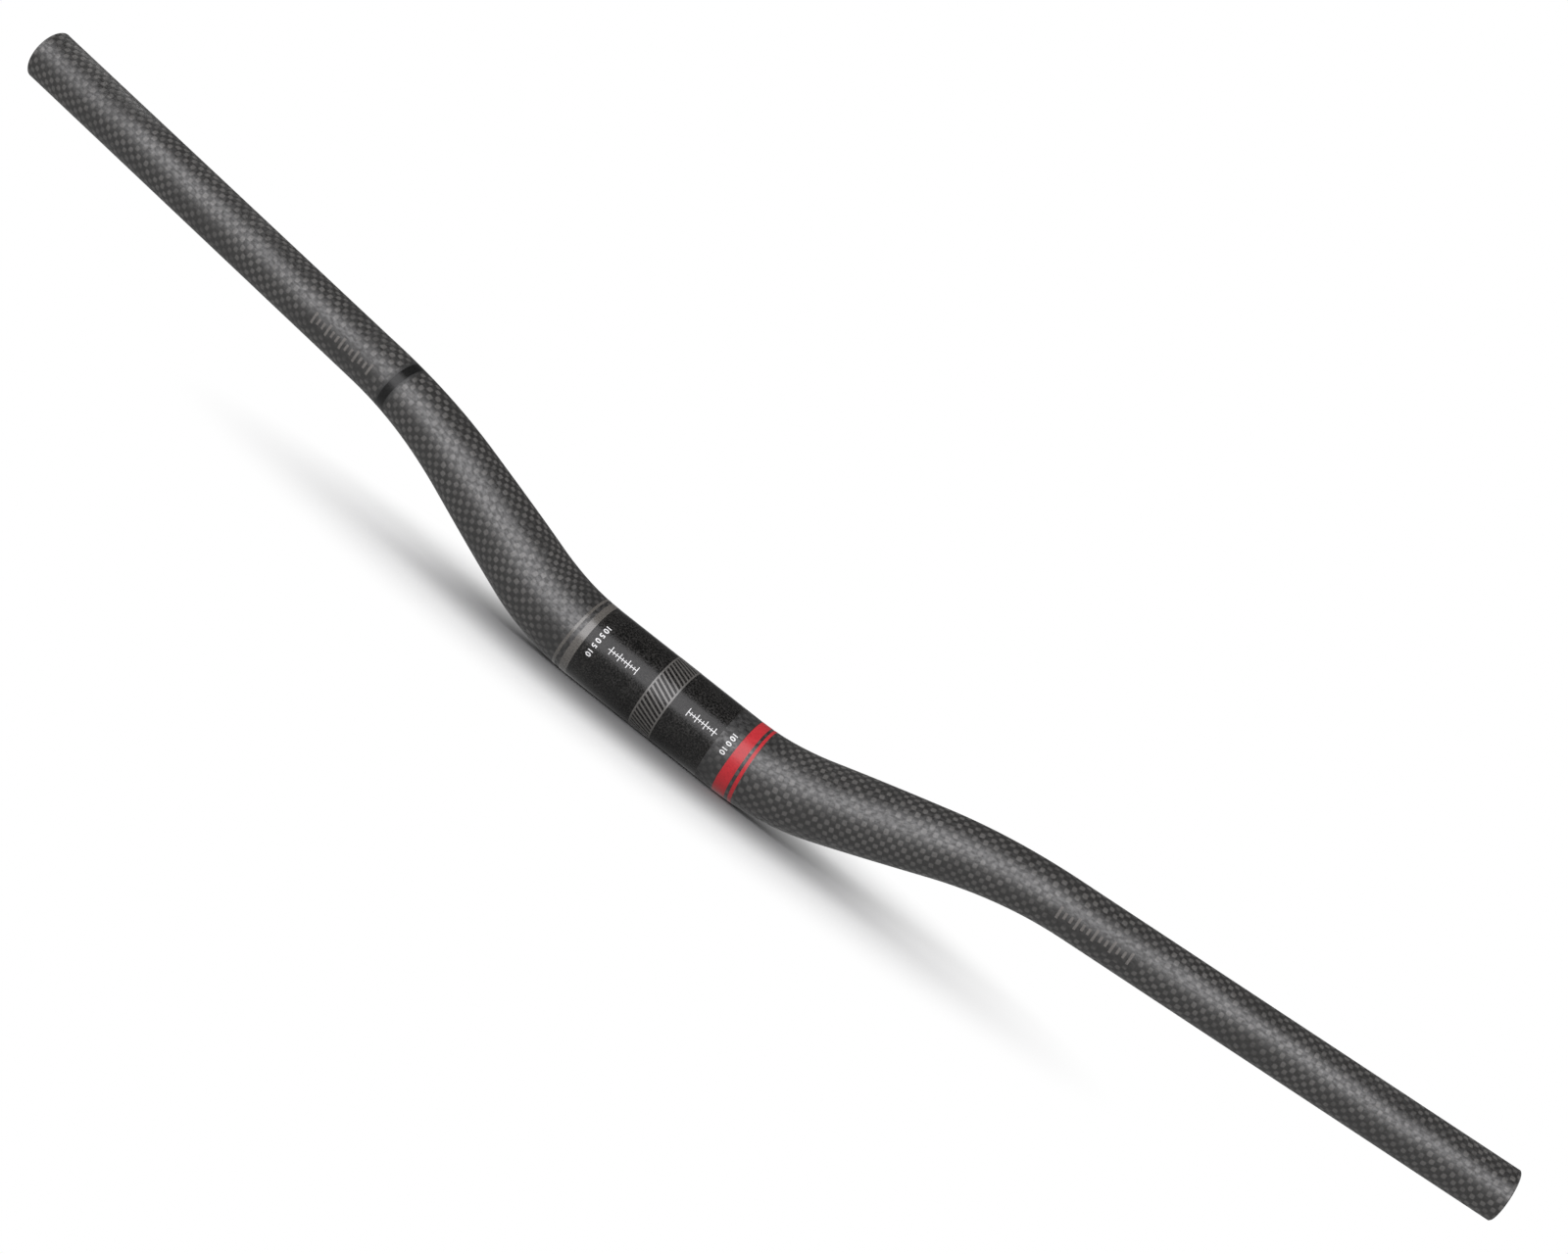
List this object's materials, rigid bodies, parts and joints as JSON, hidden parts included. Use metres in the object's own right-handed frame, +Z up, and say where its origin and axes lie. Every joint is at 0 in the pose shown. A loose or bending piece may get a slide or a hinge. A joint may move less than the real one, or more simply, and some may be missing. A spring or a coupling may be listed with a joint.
{
  "type": "riser handlebar",
  "caption": "Hollow carbon-fibre riser handlebar: straight clamp at the middle, arms that bend up and taper into swept-back grips.",
  "frame": {"origin": "on the tube's axis at the middle of the clamp", "axes": "+X along the clamp, +Y to the rear, the way the grips sweep, and +Z up, the way the arms rise"},
  "size_m": [0.7234, 0.0575, 0.0722],
  "materials": {
    "carbon": "clear-coated carbon weave, matte at the clamp"
  },
  "bodies": {
    "root": {"handlebar": "carbon"}
  },
  "joints": []
}
